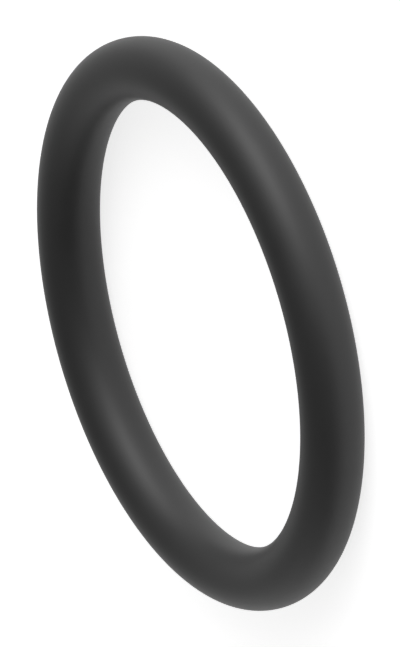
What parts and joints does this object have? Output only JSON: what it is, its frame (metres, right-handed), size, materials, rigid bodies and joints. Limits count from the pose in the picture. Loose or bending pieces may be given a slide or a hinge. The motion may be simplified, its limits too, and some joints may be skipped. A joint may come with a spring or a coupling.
{
  "type": "rubber o-ring",
  "caption": "Round black rubber sealing ring: a plain torus of circular section that lies flat and seals a shaft groove, a bore or a face.",
  "frame": {"origin": "middle of the ring, on the plane that it lies on", "axes": "+Z along the axis of the ring, away from the surface that it lies on; the ring is the same all round, so X and Y are any two directions across it"},
  "size_m": [0.037, 0.037, 0.004],
  "materials": {
    "black_rubber": "satin black moulded rubber"
  },
  "bodies": {
    "root": {"o_ring": "black_rubber"}
  },
  "joints": []
}
